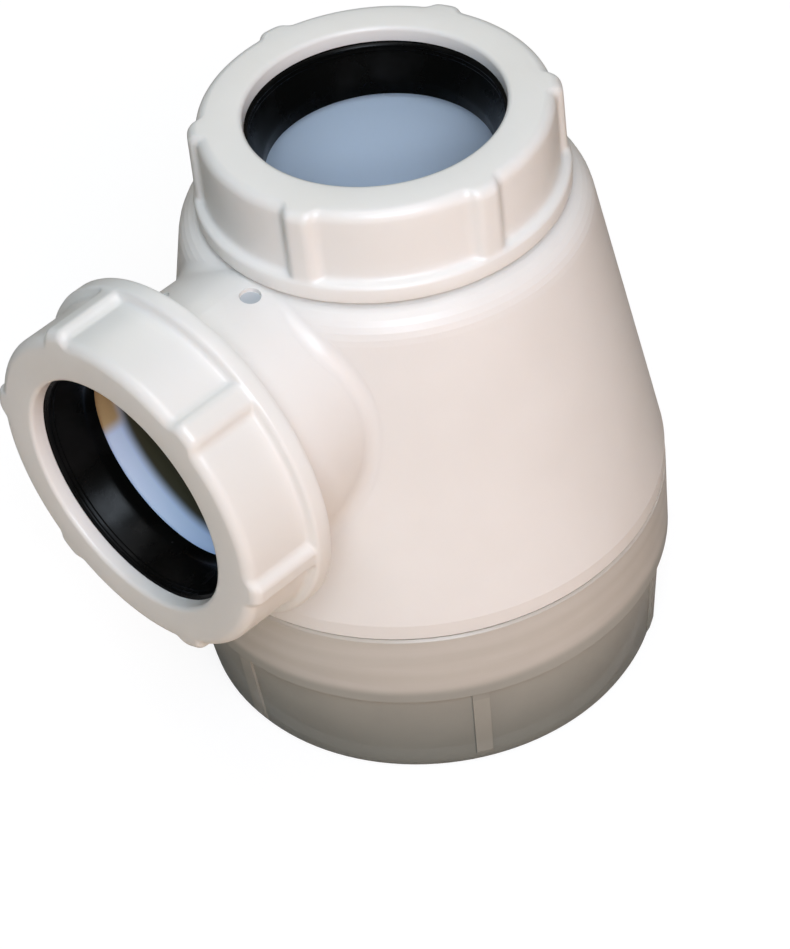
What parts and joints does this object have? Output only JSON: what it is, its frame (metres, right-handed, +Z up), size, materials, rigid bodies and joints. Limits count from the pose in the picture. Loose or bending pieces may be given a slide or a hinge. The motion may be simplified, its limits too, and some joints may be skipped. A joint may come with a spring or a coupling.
{
  "type": "condensate trap",
  "caption": "Bell-shaped condensate trap with screw-on translucent cup, compression nut inlet on top and matching side outlet, each with a black rubber seal.",
  "frame": {"origin": "centre of the flat bottom of the cup, on the inlet axis", "axes": "+Z up along the inlet axis, -X out along the outlet axis"},
  "size_m": [0.1144, 0.0944, 0.1212],
  "materials": {
    "white_plastic": "satin moulded polypropylene",
    "nut_plastic": "satin moulded polypropylene",
    "seal_rubber": "smooth, slightly shiny",
    "cup_plastic": "translucent natural polypropylene",
    "washer": "matt pale elastomer"
  },
  "bodies": {
    "trap": {"trap_body": "white_plastic"},
    "inlet_seal_ring": {"inlet_seal": "seal_rubber"},
    "inlet_nut_ring": {"inlet_nut": "nut_plastic"},
    "outlet_seal_ring": {"outlet_seal": "seal_rubber"},
    "outlet_nut_ring": {"outlet_nut": "nut_plastic"},
    "cup_washer": {"cup_seal": "washer"},
    "screw_cup": {"cup": "cup_plastic"}
  },
  "joints": [
    {"name": "inlet_seal_travel", "type": "slide", "parent": "trap", "child": "inlet_seal_ring", "axis": [0, 0, 1], "range_m": [0, 0.00875]},
    {"name": "inlet_nut_turn", "type": "hinge", "parent": "inlet_seal_ring", "child": "inlet_nut_ring", "pos_m": [0, 0, 0.113], "axis": [0, 0, 1], "range_deg": [0, 900]},
    {"name": "outlet_seal_travel", "type": "slide", "parent": "trap", "child": "outlet_seal_ring", "axis": [-1, 0, 0], "range_m": [0, 0.00875]},
    {"name": "outlet_nut_turn", "type": "hinge", "parent": "outlet_seal_ring", "child": "outlet_nut_ring", "pos_m": [-0.059, 0, 0.079], "axis": [-1, 0, 0], "range_deg": [0, 900]},
    {"name": "cup_washer_travel", "type": "slide", "parent": "trap", "child": "cup_washer", "axis": [0, 0, -1], "range_m": [0, 0.01013]},
    {"name": "cup_turn", "type": "hinge", "parent": "cup_washer", "child": "screw_cup", "pos_m": [0, 0, 0.02], "axis": [0, 0, -1], "range_deg": [0, 810]}
  ],
  "couplings": [
    {"joint": "inlet_seal_travel", "follows": "inlet_nut_turn", "m_per_rad": 0.00055704},
    {"joint": "outlet_seal_travel", "follows": "outlet_nut_turn", "m_per_rad": 0.00055704},
    {"joint": "cup_washer_travel", "follows": "cup_turn", "m_per_rad": 0.0007162}
  ]
}
